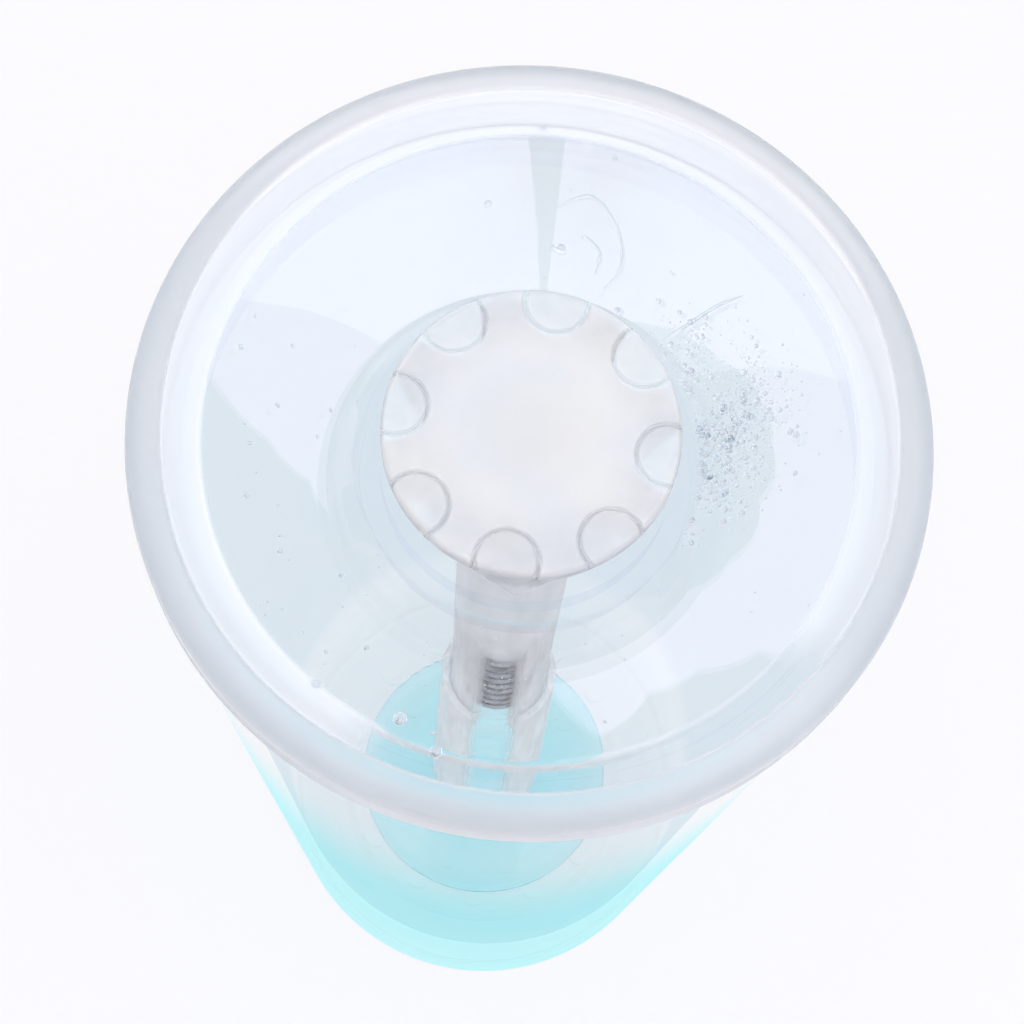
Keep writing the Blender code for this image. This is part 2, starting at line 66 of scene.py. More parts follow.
# Knob flutes
FLUTE_COUNT = 8
FLUTE_RADIUS = 0.0043
FLUTE_CIRCLE_RADIUS = 0.0185
FLUTE_PHASE = math.radians(-5.8)
FLUTE_EDGE_ROUND = 0.0003
FLUTE_STEPS = 48
FLUTE_FAR = 1.0
KNOB_SHARP = math.radians(50.0)

# Tray drains: two rows, the outer one turned half a step
DRAIN_RADIUS = 0.0024
DRAIN_SIDES = 32
INNER_DRAIN_CIRCLE = 0.0222
INNER_DRAINS = 10
OUTER_DRAIN_CIRCLE = 0.0304
OUTER_DRAINS = 14
TRAY_SHARP = math.radians(40.0)

# Grip coil
COIL_WIRE = 0.0012
COIL_WIRE_SIDES = 16
COIL_PITCH = 0.0045
COIL_TURNS = 10
COIL_FLAT_TURNS = 0.3
COIL_POINTS_PER_TURN = 36

# Liquid in the round bottom
LIQUID_LEVEL = 0.0145
LIQUID_OVERLAP = 0.0001
MENISCUS_RISE = 0.0007
MENISCUS_RUN = 0.0022
MENISCUS_STEPS = 7

# Droplets on the lid's cone: thick in patches round one place, with strays elsewhere, and most of them small
DROP_SEED = 7
DROP_DENSITY = 8000000.0
DROP_SIZE = 0.00055
DROP_SMALLEST = 0.25
DROP_SMALLER = 5
DROP_FLATNESS = 0.45
DROP_CLUSTER = Vector((0.0215, 0.0060, 0.2531))
DROP_CLUSTER_RADIUS = 0.0190
DROP_CLUSTER_FADE = (0.15, 1.0)
DROP_PATCH_SCALE = 190.0
DROP_PATCH_EDGE = (0.44, 0.62)
DROP_BETWEEN = 0.15
DROP_STRAYS = 0.002
DROP_GROUND = (0.12, 0.9)
DROP_ROWS = 16
DROP_STEPS = 96

# Wet streaks and single beads on the lid's cone: points along each streak, then place and width of each bead
STREAK_RADIUS = 0.00032
STREAK_ENDS = 0.15
STREAK_POINTS = 40
STREAK_UNEVEN = 700.0
STREAKS = [
    [(0.0008, 0.0350, 0.2582), (0.0054, 0.0368, 0.2591), (0.0087, 0.0341, 0.2583), (0.0104, 0.0303, 0.2570),
     (0.0102, 0.0268, 0.2557), (0.0079, 0.0244, 0.2545)],
    [(0.0051, 0.0318, 0.2571), (0.0074, 0.0296, 0.2564), (0.0071, 0.0267, 0.2553)],
    [(0.0161, 0.0173, 0.2537), (0.0206, 0.0203, 0.2558), (0.0244, 0.0228, 0.2575), (0.0277, 0.0241, 0.2589)],
]
BEAD_FLATNESS = 0.5
BEADS = [
    ((0.0021, 0.0297, 0.2561), 0.0008), ((-0.0138, -0.0399, 0.2611), 0.0009),
    ((-0.0088, -0.0440, 0.2621), 0.0008), ((-0.0191, -0.0303, 0.2585), 0.0004),
    ((-0.0020, 0.0450, 0.2622), 0.0005), ((-0.0250, -0.0365, 0.2619), 0.0006),
]

# Finishes below: a pair of numbers is where a change starts and ends, and a pair of colours is what a pattern
# runs between. SOLID is the share of a clear piece that bends light. THIN_SHARE is the share that lets light
# straight through where a wall counts as thin.
WIPE_EDGE = (0.52, 0.74)
WIPE_SHARE = 0.8
DOT_EDGE = (0.05, 0.11)
DOTS_PER_WIPE = 9
POLISHED = 0.002
THIN_SHARE = 0.95

# Clear acrylic, dry and wet
ACRYLIC_TINTS = ((0.985, 0.988, 0.992), (0.96, 0.965, 0.975))
ACRYLIC_IOR = 1.49
ACRYLIC_WIPES = 60.0
ROD_HAZE = 0.03
ROD_SOLID = 0.1
WET_TINTS = ((0.99, 0.993, 0.995), (0.97, 0.975, 0.98))
WET_IOR = 1.07
WET_HAZE = 0.02
WET_SOLID = 0.12

# Lid: satin rim, thin shoulder and hub, and a pale film on the shoulder that is left off at the front: a
# painted highlight standing in for the lights' reflection in the shoulder wall
LID_TINTS = ((0.965, 0.972, 0.99), (0.945, 0.955, 0.975))
LID_HAZE = 0.04
LID_WIPES = 42.0
LID_THIN_TINT = (0.97, 0.975, 0.99)
RIM_SATIN = (0.0484, 0.0494)
RIM_ROUGHNESS = 0.42
HUB_TOP = (0.2540, 0.2550)
HUB_EDGE = (0.0236, 0.0245)
SHOULDER_START = (0.0446, 0.0454)
SHOULDER_END = (0.0488, 0.0492)
HIGHLIGHT_FILM_TINTS = ((0.86, 0.89, 0.96), (0.91, 0.93, 0.98))
HIGHLIGHT_FILM_START = (0.0436, 0.0446)
HIGHLIGHT_FILM_SHARE = 0.8
DISH_SLOPE = 0.4
DISH_UPPER = (0.2425, 0.2435)
HIGHLIGHT_GAP_TOWARD = math.radians(-74.0)
HIGHLIGHT_GAP_EDGE = (0.70, 0.84)

# Jar: the leaning line between its inner and outer wall, and what tints light on its way through each of
# them. The grey wall tint is painted shade, and the teal tint is painted teal light from the liquid.
GLASS_TINTS = ((0.975, 0.985, 0.99), (0.95, 0.965, 0.97))
GLASS_IOR = 1.5
GLASS_HAZE = 0.03
GLASS_WIPES = 30.0
GLASS_THIN_TINT = (0.985, 0.99, 0.992)
WALL_MIDDLE = 0.0434
WALL_LEAN = 0.0315
WALL_FADE = 0.0004
WALL_FACING = (0.35, 0.60)
WALL_PAINTED_SHADE = (0.77, 0.855, 0.888)
PAINTED_TEAL_TINT = (0.55, 0.985, 1.0)
PAINTED_TEAL_FADE = (0.14, 0.245)
PAINTED_TEAL_LEAST = 0.8
BOWL_TINT = (0.82, 0.89, 0.91)
BOWL_TOP = (0.03, 0.06)
HEEL_TOP = (0.018, 0.026)

# Knob and cap: frosted acrylic. The cap is thinner frosted towards its edge, and cleared along the flutes'
# outlines into thin dark lines, painted dark edges standing in for the flutes' refraction.
MILK_TINTS = ((0.91, 0.93, 0.955), (0.965, 0.96, 0.955))
MILK_EDGE = (0.35, 0.65)
KNOB_HAZE = 0.03
KNOB_SOLID = 0.15
KNOB_FROST = 0.6
KNOB_FROST_DRIFT = 0.3
CAP_FROST = 0.78
CAP_THIN = (0.0100, 0.0180)
CAP_THIN_CLEAR = 0.25
CAP_THIN_LEAST = 0.6
CAP_THIN_DRIFT = 0.8
CAP_WINDOW_CLEAR = 0.06
CAP_PAINTED_EDGE = 0.0006
CAP_PAINTED_EDGE_CLEAR = 0.50

# Tube and sleeve: a frosty white film, thick at the top, and in two bands down the sides that are painted
# highlights along the tube's edges. Each cover is its least share, then what the streaks add.
TUBE_HAZE = 0.04
TUBE_SOLID = 0.07
FILM_TINTS = ((0.96, 0.97, 0.975), (0.99, 0.99, 0.99))
FILM_STRETCH = (1.0, 1.0, 0.15)
FILM_STREAKS = (0.3, 0.75)
FILM_TOP = (0.152, 0.182)
FILM_TOP_COVER = (0.8, 0.15)
HIGHLIGHT_BANDS = (0.30, 0.50)
HIGHLIGHT_BANDS_COVER = (0.5, 0.25)

# Liquid, water, silicone, nylon and spring wire
LIQUID_TINTS = ((0.72, 0.975, 0.99), (0.80, 0.985, 0.995))
LIQUID_DEPTH_TINT = (0.05, 0.90, 0.98)
LIQUID_DENSITY = 45.0
WATER_TINTS = ((0.84, 0.88, 0.91), (0.92, 0.94, 0.96))
SILICONE_TINTS = ((0.88, 0.91, 0.93), (0.94, 0.955, 0.965))
NYLON_TINTS = ((0.93, 0.94, 0.945), (0.975, 0.975, 0.98))
NYLON_SOLID = 0.35
STEEL_TINTS = ((0.34, 0.35, 0.38), (0.17, 0.165, 0.17))
STEEL_ROUGHNESS = 0.22
STAIN_EDGE = (0.48, 0.66)
STAIN_ROUGHER = 0.3
DRAWN_ROUGHER = 0.08

# Studio
PALE_FLOOR = (0.965, 0.958, 0.982)
FLOOR_GLOW = 0.8
FLOOR_DROP = 0.0003
FLOOR_RADIUS = 6.0
FLOOR_SIDES = 96
ROOM_STOPS = [(0.0, (0.80, 0.84, 0.86)), (0.30, (0.80, 0.84, 0.87)), (0.75, (0.84, 0.87, 0.92))]
ROOM_SOFT_LIGHT = (0.78, 0.78, 0.79)
OVERHEAD_RADIANCE = 1.6
OVERHEAD_TINT = (0.95, 0.96, 1.0)
OVERHEAD_PLACE = (0.20, -0.20, 1.27)
OVERHEAD_SIZE = (1.60, 0.90)
LIGHT_BOUNCES = 48
DIFFUSE_BOUNCES = 12
THIN_BOUNCES = 96

# A soft band bent round the jar, which the dish mirrors: azimuth, then its lower and upper edge, in degrees
BAND_CENTRE = Vector((0.0, 0.0, 0.255))
BAND_RADIUS = 1.2
BAND_RADIANCE = 2.3
BAND_TINTS = ((0.99, 0.84, 1.0), (1.0, 0.89, 1.0))
BAND_LEFT = [
    (94, 30, 35), (98.4, 30, 37.2), (106.2, 31, 37.8), (112.7, 33, 39.6), (119.3, 36, 42.4),
    (121.8, 40.1, 46), (130.2, 43.4, 54), (142.9, 48.2, 60), (155.4, 53, 64), (165, 56.1, 68),
    (180.2, 59.9, 72), (191.8, 62.5, 75), (207, 65, 79), (230, 67, 81), (256, 67.5, 81), (269.8, 67.5, 81),
]
BAND_RIGHT = [
    (272.5, 68, 68.4), (275.1, 68, 70), (278.1, 68, 71.5), (281.2, 68, 72.9), (284.6, 67.5, 74.3),
    (288, 67, 75.4), (296, 67, 78), (310, 66, 78), (333, 62, 74), (352, 58, 68), (370, 52, 61),
    (384.1, 47, 54.7), (388.9, 44, 51.5), (393.2, 42, 48.3), (399.7, 39, 44.6), (408.3, 36, 41),
    (418, 34, 37.7), (427.6, 33, 35.6),
]

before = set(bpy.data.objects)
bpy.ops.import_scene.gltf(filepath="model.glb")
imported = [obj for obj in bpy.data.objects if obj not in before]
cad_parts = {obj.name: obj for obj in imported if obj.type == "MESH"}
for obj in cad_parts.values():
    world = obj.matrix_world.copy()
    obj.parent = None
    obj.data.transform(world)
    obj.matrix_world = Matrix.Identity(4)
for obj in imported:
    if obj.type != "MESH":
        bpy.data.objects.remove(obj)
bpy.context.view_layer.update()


class Wire:
    """A socket in a node tree. Arithmetic on wires adds Math nodes to their tree."""

    def __init__(self, graph, socket):
        self.graph = graph
        self.socket = socket

    def out(self, name):
        """Another output of the same node."""
        return Wire(self.graph, live_socket(self.socket.node.outputs, name))

    def __add__(self, other):
        return self.graph.math("ADD", self, other)

    def __radd__(self, other):
        return self.graph.math("ADD", other, self)

    def __sub__(self, other):
        return self.graph.math("SUBTRACT", self, other)

    def __rsub__(self, other):
        return self.graph.math("SUBTRACT", other, self)

    def __mul__(self, other):
        return self.graph.math("MULTIPLY", self, other)

    def __rmul__(self, other):
        return self.graph.math("MULTIPLY", other, self)

    def __truediv__(self, other):
        return self.graph.math("DIVIDE", self, other)

    def __rtruediv__(self, other):
        return self.graph.math("DIVIDE", other, self)

    def __pow__(self, other):
        return self.graph.math("POWER", self, other)

    def __gt__(self, other):
        return self.graph.math("GREATER_THAN", self, other)


def set_value(socket, value):
    """Sets a socket's own value. A colour is given as red, green and blue."""
    socket.default_value = (*value, 1.0) if socket.type == "RGBA" else value


def live_socket(sockets, key):
    """A socket by its place, or the one in use among those of a name."""
    if isinstance(key, int):
        return sockets[key]
    return next(socket for socket in sockets if socket.name == key and socket.enabled)


class Graph:
    """A node tree that is written as expressions."""

    def __init__(self, tree):
        self.tree = tree

    def add(self, kind, settings=None, sockets=None):
        """A node with its settings, then its socket values or links. Gives its first output in use."""
        node = self.tree.nodes.new(kind)
        for name, value in (settings or {}).items():
            if name == "stops":
                set_stops(node.color_ramp, value)
            else:
                setattr(node, name, value)
        for key, value in (sockets or {}).items():
            socket = live_socket(node.inputs, key)
            for one in value if isinstance(value, list) else [value]:
                if isinstance(one, Wire):
                    self.tree.links.new(one.socket, socket)
                else:
                    set_value(socket, one)
        outputs = [socket for socket in node.outputs if socket.enabled]
        return Wire(self, outputs[0]) if outputs else None

    def math(self, operation, *values):
        return self.add("ShaderNodeMath", {"operation": operation}, dict(enumerate(values)))

    def blend(self, share, first, second):
        """A colour between two."""
        return self.add("ShaderNodeMix", {"data_type": "RGBA"}, {"Factor": share, "A": first, "B": second})

    def ramp(self, value, low, high):
        """0 below low and 1 above high, eased between."""
        return self.add(
            "ShaderNodeMapRange", {"interpolation_type": "SMOOTHSTEP"},
            {"Value": value, "From Min": low, "From Max": high},
        )

    def fall(self, value, low, high):
        """1 below low and 0 above high, eased between."""
        return 1 - self.ramp(value, low, high)

    def noise(self, place, scale, detail, rough=0.5):
        return self.add("ShaderNodeTexNoise", None, {
            "Vector": place, "Scale": scale, "Detail": detail, "Roughness": rough,
        })

    def spots(self, place, scale):
        """Distance to the nearest of many scattered points."""
        return self.add("ShaderNodeTexVoronoi", None, {"Vector": place, "Scale": scale})

    def bump(self, height, strength, distance):
        return self.add("ShaderNodeBump", None, {
            "Strength": strength, "Distance": distance, "Height": height,
        })

    def skin(self, tint, roughness, ior, clear):
        """A second shader to lay over a finish. clear is the share of light that passes it."""
        return self.add("ShaderNodeBsdfPrincipled", None, {
            "Base Color": tint, "Roughness": roughness, "IOR": ior, "Transmission Weight": clear,
        })

    def straight(self, tint):
        """Lets light straight through, tinted."""
        return self.add("ShaderNodeBsdfTransparent", None, {"Color": tint})


def set_stops(ramp, stops):
    """Gives a colour ramp its stops, each a position and a colour."""
    while len(ramp.elements) > len(stops):
        ramp.elements.remove(ramp.elements[-1])
    while len(ramp.elements) < len(stops):
        ramp.elements.new(1.0)
    for element, (position, tint) in zip(ramp.elements, stops):
        element.position = position
        element.color = (*tint, 1.0)


class Finish:
    """A material with one main shader, the graph that feeds it, and places on the piece to vary it by."""

    def __init__(self, name, **constants):
        self.material = bpy.data.materials.new(name)
        self.material.use_nodes = True
        self.tree = self.material.node_tree
        self.graph = Graph(self.tree)
        self.shader = self.tree.nodes["Principled BSDF"]
        self.end = self.tree.nodes["Material Output"]
        for socket, value in constants.items():
            set_value(self.shader.inputs[socket.replace("_", " ")], value)
        self.place = self.graph.add("ShaderNodeTexCoord").out("Object")
        self.x = self.graph.add("ShaderNodeSeparateXYZ", None, {"Vector": self.place})
        self.y = self.x.out("Y")
        self.height = self.x.out("Z")
        self.radius = self.graph.math("SQRT", self.x * self.x + self.y * self.y)

    def feed(self, socket, wire):
        """Links what varies over the surface to the main shader."""
        self.tree.links.new(wire.socket, self.shader.inputs[socket])

    def show(self, wire):
        """Makes a shader the one that is seen."""
        self.tree.links.new(wire.socket, self.end.inputs["Surface"])

    def mix(self, share, other):
        """Shows another shader by a share that may vary over the surface."""
        shown = Wire(self.graph, self.end.inputs["Surface"].links[0].from_socket)
        self.show(self.graph.add("ShaderNodeMixShader", None, {"Fac": share, 1: shown, 2: other}))

    def absorb(self, tint, density):
        """Colour that deepens with the length of the light's way through the piece."""
        inside = self.graph.add("ShaderNodeVolumeAbsorption", None, {"Color": tint, "Density": density})
        self.tree.links.new(inside.socket, self.end.inputs["Volume"])


def clear_finish(name, tints, ior, haze, wipe_scale, solid=1.0):
    """Clear glass or plastic with wipe marks and water spots in its gloss.

    solid is the share that bends light. The rest passes straight on, as through a thin wall.
    """
    finish = Finish(name, Transmission_Weight=1.0, IOR=ior, Alpha=solid)
    graph = finish.graph
    wipes = graph.ramp(graph.noise(finish.place, wipe_scale, detail=2.0, rough=0.6), *WIPE_EDGE)
    dots = graph.fall(graph.spots(finish.place, wipe_scale * DOTS_PER_WIPE), *DOT_EDGE)
    marks = wipes * WIPE_SHARE + dots * (1 - WIPE_SHARE)
    finish.feed("Base Color", graph.blend(marks, *tints))
    finish.rough = POLISHED + marks * haze
    finish.feed("Roughness", finish.rough)
    return finish


def acrylic_finish(name, haze, solid=1.0):
    """Clear polished acrylic."""
    return clear_finish(name, ACRYLIC_TINTS, ACRYLIC_IOR, haze, ACRYLIC_WIPES, solid)


def lid_finish():
    """Clear acrylic with a satin rim, and a pale film on the dish's shoulder, left off at the front: a
    painted highlight standing in for the lights' reflection there.
    """
    finish = clear_finish("clear_lid", LID_TINTS, ACRYLIC_IOR, LID_HAZE, LID_WIPES)
    graph = finish.graph
    finish.feed("Roughness", finish.rough + graph.ramp(finish.radius, *RIM_SATIN) * RIM_ROUGHNESS)
    hub = graph.fall(finish.height, *HUB_TOP) * graph.fall(finish.radius, *HUB_EDGE)
    within = graph.fall(finish.radius, *SHOULDER_END)
    shoulder = graph.ramp(finish.radius, *SHOULDER_START) * within
    finish.mix((shoulder + hub) * THIN_SHARE, graph.straight(LID_THIN_TINT))
    # Painted highlight: a pale film on the shoulder, left off round the front, standing in for the lights'
    # reflection in the shoulder's steep wall.
    upper = graph.ramp(finish.height - finish.radius * DISH_SLOPE, *DISH_UPPER)
    toward = (finish.x * math.cos(HIGHLIGHT_GAP_TOWARD) + finish.y * math.sin(HIGHLIGHT_GAP_TOWARD)) / finish.radius
    painted_highlight = graph.ramp(finish.radius, *HIGHLIGHT_FILM_START) * within * upper * graph.fall(toward, *HIGHLIGHT_GAP_EDGE)
    cloud = graph.noise(finish.place, 60.0, detail=1.0)
    film = graph.skin(graph.blend(cloud, *HIGHLIGHT_FILM_TINTS), roughness=0.1, ior=ACRYLIC_IOR, clear=0.1)
    finish.mix(painted_highlight * HIGHLIGHT_FILM_SHARE, film)
    return finish.material


def glass_finish():
    """Clear pressed glass. Along its walls light passes straight on; seen edge-on, the inner wall is darkened
    by painted shade, and the outer wall near the base takes painted teal light from the liquid.
    """
    finish = clear_finish("clear_glass", GLASS_TINTS, GLASS_IOR, GLASS_HAZE, GLASS_WIPES)
    graph = finish.graph
    leaning = finish.radius - finish.height * WALL_LEAN
    outside = graph.ramp(leaning, WALL_MIDDLE - WALL_FADE, WALL_MIDDLE + WALL_FADE)
    inside = 1 - outside
    facing = graph.add("ShaderNodeLayerWeight", None, {"Blend": 0.5}).out("Facing")
    along = graph.ramp(facing, *WALL_FACING)
    back = graph.add("ShaderNodeNewGeometry").out("Backfacing")
    front = 1 - back
    finish.mix(along * THIN_SHARE, graph.straight(GLASS_THIN_TINT))
    # Painted shade: where the inner wall is seen edge-on from its front, a grey tint darkens it.
    finish.mix(along * front * inside * THIN_SHARE, graph.straight(WALL_PAINTED_SHADE))
    # Painted teal light from the liquid: where the outer wall is seen edge-on from its front, it takes a teal
    # tint that fades out with height.
    drift = graph.noise(finish.place, 26.0, detail=1.0)
    painted_teal = graph.fall(finish.height, *PAINTED_TEAL_FADE) * (PAINTED_TEAL_LEAST + drift * (1 - PAINTED_TEAL_LEAST))
    finish.mix(along * front * outside * painted_teal, graph.straight(PAINTED_TEAL_TINT))
    heel = back * graph.fall(finish.height, *HEEL_TOP)
    bowl = graph.math("MAXIMUM", inside * graph.fall(finish.height, *BOWL_TOP), heel) * THIN_SHARE
    finish.mix(bowl, graph.straight(GLASS_THIN_TINT))
    finish.mix(bowl * front, graph.straight(BOWL_TINT))
    return finish.material


def milk(finish):
    """Frosted acrylic: white, a little cloudy."""
    graph = finish.graph
    cloud = graph.ramp(graph.noise(finish.place, 75.0, detail=2.0), *MILK_EDGE)
    return graph.skin(graph.blend(cloud, *MILK_TINTS), roughness=0.5, ior=ACRYLIC_IOR, clear=0.35)


def knob_finish():
    """Clear acrylic, hazy with wear."""
    finish = acrylic_finish("knob_acrylic", KNOB_HAZE, KNOB_SOLID)
    drift = finish.graph.noise(finish.place, 130.0, detail=2.0)
    finish.mix(KNOB_FROST + drift * KNOB_FROST_DRIFT, milk(finish))
    return finish.material


def cap_finish():
    """Frosted cap, clearer towards its edge and above the flutes, and clearest along their outlines, which
    show as thin dark lines: painted dark edges standing in for the flutes' refraction.
    """
    finish = acrylic_finish("cap_acrylic", KNOB_HAZE)
    graph = finish.graph
    radius = finish.radius
    around = graph.math("ARCTAN2", finish.y, finish.x) - FLUTE_PHASE
    beside = graph.math("ARCCOSINE", graph.math("COSINE", around * FLUTE_COUNT)) / FLUTE_COUNT
    shared = radius * graph.math("COSINE", beside) * (2 * FLUTE_CIRCLE_RADIUS)
    away = graph.math("SQRT", radius * radius - shared + FLUTE_CIRCLE_RADIUS ** 2)
    past = graph.ramp(away, FLUTE_RADIUS - CAP_PAINTED_EDGE, FLUTE_RADIUS)
    # Painted dark edges: the frost is cleared in a thin ring along each flute's outline, standing in for the
    # dark refraction at the flute's edge.
    line = past * graph.fall(away, FLUTE_RADIUS, FLUTE_RADIUS + CAP_PAINTED_EDGE)
    drift = CAP_THIN_LEAST + graph.noise(finish.place, 180.0, detail=2.0) * CAP_THIN_DRIFT
    thin = graph.ramp(radius, *CAP_THIN) * drift * CAP_THIN_CLEAR
    frost = CAP_FROST - thin - (1 - past) * CAP_WINDOW_CLEAR - line * CAP_PAINTED_EDGE_CLEAR
    finish.mix(frost, milk(finish))
    return finish.material


def tube_finish():
    """Clear tube with a frosty white film: thick at the top, and in two broad bands down its sides, which are
    painted highlights along the tube's edges.
    """
    finish = acrylic_finish("tube_acrylic", TUBE_HAZE, TUBE_SOLID)
    graph = finish.graph
    drawn = graph.add("ShaderNodeVectorMath", {"operation": "MULTIPLY"}, {0: finish.place, 1: FILM_STRETCH})
    streaks = graph.ramp(graph.noise(drawn, 200.0, detail=2.0), *FILM_STREAKS)
    top = graph.ramp(finish.height, *FILM_TOP)
    # Painted highlights: two bands of film down the tube's left and right sides, standing in for the
    # highlights along its edges.
    sides = graph.ramp(graph.math("ABSOLUTE", finish.x) / finish.radius, *HIGHLIGHT_BANDS)
    covers = []
    for region, (least, more) in ((sides, HIGHLIGHT_BANDS_COVER), (top, FILM_TOP_COVER)):
        covers.append(region * (least + streaks * more))
    film = graph.skin(graph.blend(streaks, *FILM_TINTS), roughness=0.55, ior=1.3, clear=0.1)
    finish.mix(graph.math("MAXIMUM", *covers), film)
    return finish.material


def liquid_finish():
    """Teal disinfectant: clear, with a faint unevenness where it has not fully mixed."""
    finish = Finish("teal_liquid", Transmission_Weight=1.0, IOR=1.333, Roughness=0.0)
    drift = finish.graph.noise(finish.place, 60.0, detail=1.0)
    finish.feed("Base Color", finish.graph.blend(drift, *LIQUID_TINTS))
    finish.absorb(LIQUID_DEPTH_TINT, LIQUID_DENSITY)
    return finish.material


def cloudy_finish(name, tints, scale, detail, smooth, rougher, **constants):
    """One colour drifting into another, and the gloss with it."""
    finish = Finish(name, **constants)
    cloud = finish.graph.noise(finish.place, scale, detail)
    finish.feed("Base Color", finish.graph.blend(cloud, *tints))
    finish.feed("Roughness", smooth + cloud * rougher)
    return finish.material


def water_finish():
    """Clear water in drops and streaks."""
    return cloudy_finish(
        "clear_water", WATER_TINTS, scale=900.0, detail=1.0, smooth=0.0, rougher=0.01,
        Transmission_Weight=1.0, IOR=1.33,
    )


def silicone_finish():
    """Milky silicone with a satin skin."""
    return cloudy_finish(
        "clear_silicone", SILICONE_TINTS, scale=400.0, detail=2.0, smooth=0.35, rougher=0.2,
        Transmission_Weight=0.75, IOR=1.41,
    )


def nylon_finish():
    """White moulded nylon, satin and a little cloudy."""
    return cloudy_finish(
        "white_nylon", NYLON_TINTS, scale=180.0, detail=2.0, smooth=0.38, rougher=0.14,
        IOR=1.3, Alpha=NYLON_SOLID,
    )


def wire_finish():
    """Dark drawn spring wire with a few dull stains."""
    finish = Finish("spring_steel", Metallic=1.0)
    graph = finish.graph
    stains = graph.ramp(graph.noise(finish.place, 260.0, detail=5.0, rough=0.65), *STAIN_EDGE)
    drawn = graph.noise(finish.place, 3200.0, detail=2.0)
    finish.feed("Base Color", graph.blend(stains, *STEEL_TINTS))
    finish.feed("Roughness", STEEL_ROUGHNESS + stains * STAIN_ROUGHER + drawn * DRAWN_ROUGHER)
    finish.feed("Normal", graph.bump(drawn, strength=0.2, distance=0.0001))
    return finish.material


def section_of(node, degrees=0.0):
    """Half section of a turned CAD node at an angle about Z: a run of points (radius, height).

    A ring gives a closed run. A piece on the axis gives a run that starts and ends there.
    """
    shape = bmesh.new()
    shape.from_mesh(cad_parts[node].data)
    bmesh.ops.remove_doubles(shape, verts=shape.verts, dist=SAME_POINT)
    turn = Matrix.Rotation(-math.radians(degrees), 4, "Z")
    bmesh.ops.transform(shape, matrix=Matrix.Translation((0.0, SECTION_SHIFT, 0.0)) @ turn, verts=shape.verts)
    parts = shape.verts[:] + shape.edges[:] + shape.faces[:]
    bmesh.ops.bisect_plane(shape, geom=parts, plane_co=(0, 0, 0), plane_no=(1, 0, 0), clear_inner=True)
    parts = shape.verts[:] + shape.edges[:] + shape.faces[:]
    cut = bmesh.ops.bisect_plane(shape, geom=parts, plane_co=(0, 0, 0), plane_no=(0, 1, 0))["geom_cut"]
    near = {}
    for edge in cut:
        if isinstance(edge, bmesh.types.BMEdge):
            first, second = edge.verts
            near.setdefault(first, []).append(second)
            near.setdefault(second, []).append(first)
    ends = [vert for vert in near if len(near[vert]) == 1]
    start = max(ends, key=lambda vert: vert.co.z) if ends else max(near, key=lambda vert: vert.co.x)
    run, last, here = [start], None, start
    while True:
        ahead = [vert for vert in near[here] if vert is not last and (vert is not start or len(run) > 2)]
        if not ahead or ahead[0] is start:
            break
        last, here = here, ahead[0]
        run.append(here)
    points = [Vector((max(vert.co.x, 0.0), vert.co.z)) for vert in run]
    shape.free()
    return without_straights(points, not ends), not ends


def without_straights(points, closed):
    """The run without the points that lie on a straight line between their neighbours."""
    kept = []
    for i, point in enumerate(points):
        before = kept[-1] if kept else points[-1]
        after = points[(i + 1) % len(points)]
        along = after - before
        bent = abs(along.cross(point - before)) > SAME_POINT * max(along.length, SAME_POINT)
        inner = closed or 0 < i < len(points) - 1
        if (bent and (point - before).length > SAME_POINT) or not inner:
            kept.append(point)
    return kept


def rounded(run, closed, edge_round=EDGE_ROUND):
    """The run with its corners turned into arcs: sharp ones small, gentle ones as wide as fits."""
    points = []
    for i, corner in enumerate(run):
        if not closed and i in (0, len(run) - 1):
            points.append(corner)
            continue
        before = run[i - 1] - corner
        after = run[(i + 1) % len(run)] - corner
        turn = math.pi - before.angle(after)
        room = min(before.length, after.length) * CORNER_ROOM
        reach = min(room, GENTLE_REACH if turn < GENTLE_TURN else edge_round * math.tan(turn / 2))
        start = corner + before.normalized() * reach
        end = corner + after.normalized() * reach
        steps = max(1, math.ceil(turn / ARC_TURN))
        for k in range(steps + 1):
            share = k / steps
            points.append(start.lerp(corner, share).lerp(corner.lerp(end, share), share))
    return supported(points, closed)


def supported(points, closed):
    """The run with a point close to each end of its long straights, so that shading keeps them straight."""
    held = []
    for i, point in enumerate(points):
        held.append(point)
        if not closed and i == len(points) - 1:
            break
        along = points[(i + 1) % len(points)] - point
        if along.length > SUPPORT_LEAST:
            step = along.normalized() * SUPPORT_REACH
            held += [point + step, point + along - step]
    return held


def turned(name, run, closed, steps, material, radius_at=None):
    """A mesh turned about Z from a run. radius_at may change a point's radius by its angle and height."""
    shape = bmesh.new()
    angles = [2 * math.pi * i / steps for i in range(steps)]
    rings = []
    for radius, height in run:
        if radius < ON_AXIS:
            rings.append([shape.verts.new((0.0, 0.0, height))])
            continue
        circle = []
        for angle in angles:
            reach = radius_at(radius, angle, height) if radius_at else radius
            circle.append(shape.verts.new((reach * math.cos(angle), reach * math.sin(angle), height)))
        rings.append(circle)
    pairs = list(zip(rings, rings[1:])) + ([(rings[-1], rings[0])] if closed else [])
    for low, high in pairs:
        for i in range(steps):
            after = (i + 1) % steps
            corners = [low[i % len(low)], low[after % len(low)], high[after % len(high)], high[i % len(high)]]
            shape.faces.new(list(dict.fromkeys(corners)))
    bmesh.ops.recalc_face_normals(shape, faces=shape.faces)
    return mesh_piece(name, shape, material)


def placed(name, data):
    """An object in the scene that holds the given data."""
    thing = bpy.data.objects.new(name, data)
    bpy.context.scene.collection.objects.link(thing)
    return thing


def mesh_piece(name, shape, material):
    """An object of a finished shape, smooth shaded."""
    mesh = bpy.data.meshes.new(name)
    shape.to_mesh(mesh)
    shape.free()
    mesh.shade_smooth()
    mesh.materials.append(material)
    return placed(name, mesh)


